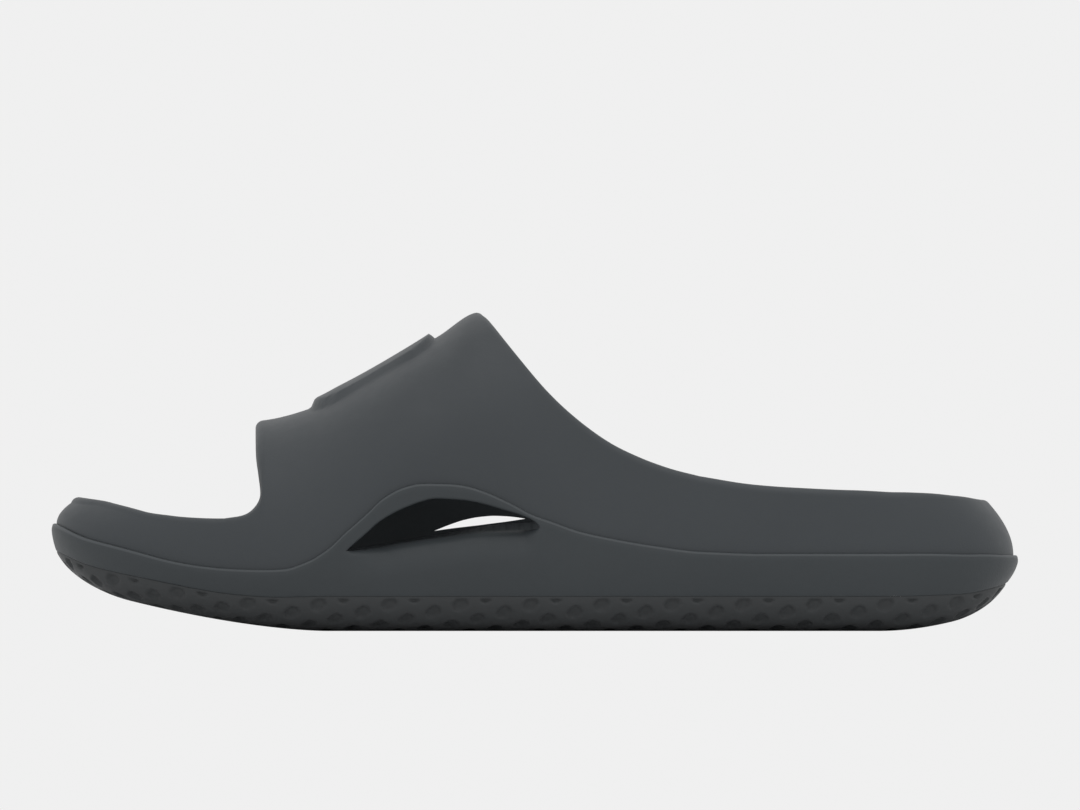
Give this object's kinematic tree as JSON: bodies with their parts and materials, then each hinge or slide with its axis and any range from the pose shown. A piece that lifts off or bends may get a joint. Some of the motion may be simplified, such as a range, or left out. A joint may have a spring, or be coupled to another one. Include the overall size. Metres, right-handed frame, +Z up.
{
  "type": "sport slide sandal",
  "caption": "Left slide sandal moulded in foam: one wide strap over the instep, low rim round toe and heel, a cut-out in each side and a curved sole with a lugged tread.",
  "frame": {"origin": "on the floor, under the middle of the shoe's box", "axes": "+X from toe to heel, +Y from the outer to the inner side of this left shoe, +Z up from the floor"},
  "size_m": [0.2908, 0.1092, 0.0957],
  "materials": {
    "upper": "matt slate grey moulded foam",
    "midsole": "matt slate grey moulded foam",
    "outsole": "matt dark grey moulded tread",
    "footbed": "matt slate grey moulded foam with a fine grip texture"
  },
  "bodies": {
    "root": {"upper": "upper", "midsole": "midsole", "outsole": "outsole", "footbed": "footbed"}
  },
  "joints": []
}
